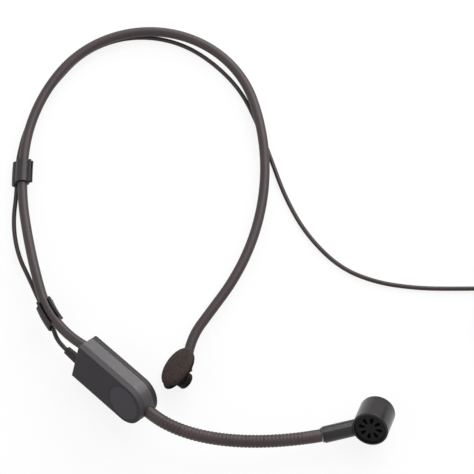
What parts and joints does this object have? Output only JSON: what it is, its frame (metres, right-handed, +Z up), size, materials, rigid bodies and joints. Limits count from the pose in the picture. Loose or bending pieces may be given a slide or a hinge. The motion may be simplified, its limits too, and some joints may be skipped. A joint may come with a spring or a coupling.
{
  "type": "headset microphone",
  "caption": "Behind-the-neck headset microphone: sleeved wire band, temple pad, junction housing, flexible boom, slotted mic head, thin cable with small locking connector.",
  "frame": {"origin": "on the table under the middle of the headset without its loose cable", "axes": "+Z up from the table, +X along the boom towards the microphone head, +Y towards the rear of the band"},
  "size_m": [0.2693, 0.2248, 0.029],
  "materials": {
    "band_sleeve": "satin",
    "steel_wire": "drawn",
    "housing": "fine matte texture",
    "emblem": "satin",
    "black_steel": "black oxide",
    "board": "solder mask",
    "tin": "tinned",
    "lead_insulation": "smooth",
    "brass": "turned",
    "gland_rubber": "matte",
    "boom_skin": "fine ribs",
    "neck": "semi gloss",
    "head_shell": "satin",
    "grille": "matte",
    "grille_cloth": "woven",
    "aluminium": "turned",
    "soft_rubber": "matte",
    "plated_steel": "plated",
    "copper": "enamelled wire",
    "film": "thin film",
    "pad_foam": "closed cell foam",
    "pad_plate": "moulded",
    "nylon": "moulded",
    "cable": "satin jacket",
    "tie": "woven hook and loop",
    "plug_metal": "black chrome",
    "insert": "moulded",
    "gold": "gold plated",
    "latch": "satin",
    "clip": "semi gloss"
  },
  "bodies": {
    "frame": {"band_crimp": "brass", "band_sleeve_left": "band_sleeve", "band_wire_left": "steel_wire", "boom_base": "boom_skin", "boom_ferrule": "brass", "cable_coil": "cable", "cable_gland": "gland_rubber", "cable_lead": "cable", "cable_tail": "cable", "coil_tie": "tie", "cover_screws": "black_steel", "emblem_disc": "emblem", "housing_body": "housing", "housing_inner_cover": "housing", "housing_outer_cover": "housing", "lead_wires": "lead_insulation", "plug_boot": "gland_rubber", "plug_contacts": "gold", "plug_end_cap": "plug_metal", "plug_insert": "insert", "plug_shell": "plug_metal", "solder_lugs": "tin", "terminal_board": "board"},
    "band_right": {"band_sleeve_right": "band_sleeve", "band_wire_right": "steel_wire", "pad_hub": "pad_plate", "ball_stud": "plated_steel"},
    "pad_cup": {"pad_socket": "nylon"},
    "temple_pad": {"pad_plate": "pad_plate", "pad_foam": "pad_foam"},
    "clip_upper": {"clip_upper": "clip"},
    "clip_lower": {"clip_lower": "clip"},
    "latch": {"plug_latch": "latch"},
    "mic_head": {"boom_link_10": "boom_skin", "mic_neck": "neck", "mic_shell": "head_shell", "mic_rear_cap": "head_shell", "mic_grille": "grille", "grille_cloth": "grille_cloth", "cartridge_case": "aluminium", "shock_ring": "soft_rubber", "magnet_yoke": "plated_steel", "magnet": "plated_steel", "pole_piece": "plated_steel", "voice_coil": "copper", "diaphragm": "film"},
    "boom_01": {"boom_link_01": "boom_skin"},
    "boom_02": {"boom_link_02": "boom_skin"},
    "boom_03": {"boom_link_03": "boom_skin"},
    "boom_04": {"boom_link_04": "boom_skin"},
    "boom_05": {"boom_link_05": "boom_skin"},
    "boom_06": {"boom_link_06": "boom_skin"},
    "boom_07": {"boom_link_07": "boom_skin"},
    "boom_08": {"boom_link_08": "boom_skin"},
    "boom_09": {"boom_link_09": "boom_skin"}
  },
  "joints": [
    {"name": "band_flex", "type": "hinge", "parent": "frame", "child": "band_right", "pos_m": [-0.02599, 0.10991, 0.00521], "axis": [0, 0, 1], "range_deg": [-2, 10], "stiffness_Nm_per_rad": 1.45},
    {"name": "pad_rock", "type": "hinge", "parent": "band_right", "child": "pad_cup", "pos_m": [-0.009, -0.07556, 0.0082], "axis": [0.387, 0.9181, -0.086], "range_deg": [-8, 8]},
    {"name": "pad_nod", "type": "hinge", "parent": "pad_cup", "child": "temple_pad", "pos_m": [-0.009, -0.07556, 0.0082], "axis": [-0.6098, 0.1849, -0.7706], "range_deg": [-8, 0]},
    {"name": "clip_upper_slide", "type": "hinge", "parent": "frame", "child": "clip_upper", "pos_m": [0.03038, 0.03283, 0.0499], "axis": [-0.351, 0.031, 0.9359], "range_deg": [-1.3, 1]},
    {"name": "clip_lower_slide", "type": "hinge", "parent": "frame", "child": "clip_lower", "pos_m": [-0.02359, -0.01626, 0.02042], "axis": [-0.1839, 0.067, 0.9807], "range_deg": [-2.5, 0.2]},
    {"name": "boom_swing_1", "type": "hinge", "parent": "frame", "child": "boom_01", "pos_m": [-0.01811, -0.09921, 0.01951], "axis": [-0.0204, 0.0108, 0.9997], "range_deg": [-10, 10]},
    {"name": "boom_lift_1", "type": "hinge", "parent": "boom_01", "child": "boom_02", "pos_m": [-0.01103, -0.10296, 0.01969], "axis": [-0.4138, -0.9104, 0], "range_deg": [-10, 10]},
    {"name": "boom_swing_2", "type": "hinge", "parent": "boom_02", "child": "boom_03", "pos_m": [-0.00358, -0.10582, 0.01943], "axis": [0.0571, -0.0179, 0.9982], "range_deg": [-10, 10]},
    {"name": "boom_lift_2", "type": "hinge", "parent": "boom_03", "child": "boom_04", "pos_m": [0.00408, -0.1077, 0.01874], "axis": [-0.1903, -0.9817, 0], "range_deg": [-10, 10]},
    {"name": "boom_swing_3", "type": "hinge", "parent": "boom_04", "child": "boom_05", "pos_m": [0.01192, -0.10882, 0.01778], "axis": [0.1308, -0.0134, 0.9913], "range_deg": [-10, 10]},
    {"name": "boom_lift_3", "type": "hinge", "parent": "boom_05", "child": "boom_06", "pos_m": [0.01973, -0.10931, 0.01666], "axis": [-0.0307, -0.9995, 0], "range_deg": [-10, 10]},
    {"name": "boom_swing_4", "type": "hinge", "parent": "boom_06", "child": "boom_07", "pos_m": [0.02762, -0.1093, 0.01545], "axis": [0.1516, 0.0043, 0.9884], "range_deg": [-10, 10]},
    {"name": "boom_lift_4", "type": "hinge", "parent": "boom_07", "child": "boom_08", "pos_m": [0.03544, -0.10887, 0.01425], "axis": [0.0779, -0.997, 0], "range_deg": [-10, 10]},
    {"name": "boom_swing_5", "type": "hinge", "parent": "boom_08", "child": "boom_09", "pos_m": [0.04328, -0.10807, 0.01309], "axis": [0.1363, 0.0165, 0.9905], "range_deg": [-10, 10]},
    {"name": "boom_lift_5", "type": "hinge", "parent": "boom_09", "child": "mic_head", "pos_m": [0.05111, -0.10697, 0.01206], "axis": [0.1573, -0.9876, 0], "range_deg": [-10, 10]},
    {"name": "latch_press", "type": "slide", "parent": "frame", "child": "latch", "axis": [0, 0, -1], "range_m": [0, 0.0006], "stiffness_N_per_m": 2000}
  ],
  "couplings": [
    {"joint": "boom_swing_2", "follows": "boom_swing_1", "ratio": 1},
    {"joint": "boom_swing_3", "follows": "boom_swing_1", "ratio": 1},
    {"joint": "boom_swing_4", "follows": "boom_swing_1", "ratio": 1},
    {"joint": "boom_swing_5", "follows": "boom_swing_1", "ratio": 1},
    {"joint": "boom_lift_2", "follows": "boom_lift_1", "ratio": 1},
    {"joint": "boom_lift_3", "follows": "boom_lift_1", "ratio": 1},
    {"joint": "boom_lift_4", "follows": "boom_lift_1", "ratio": 1},
    {"joint": "boom_lift_5", "follows": "boom_lift_1", "ratio": 1}
  ]
}
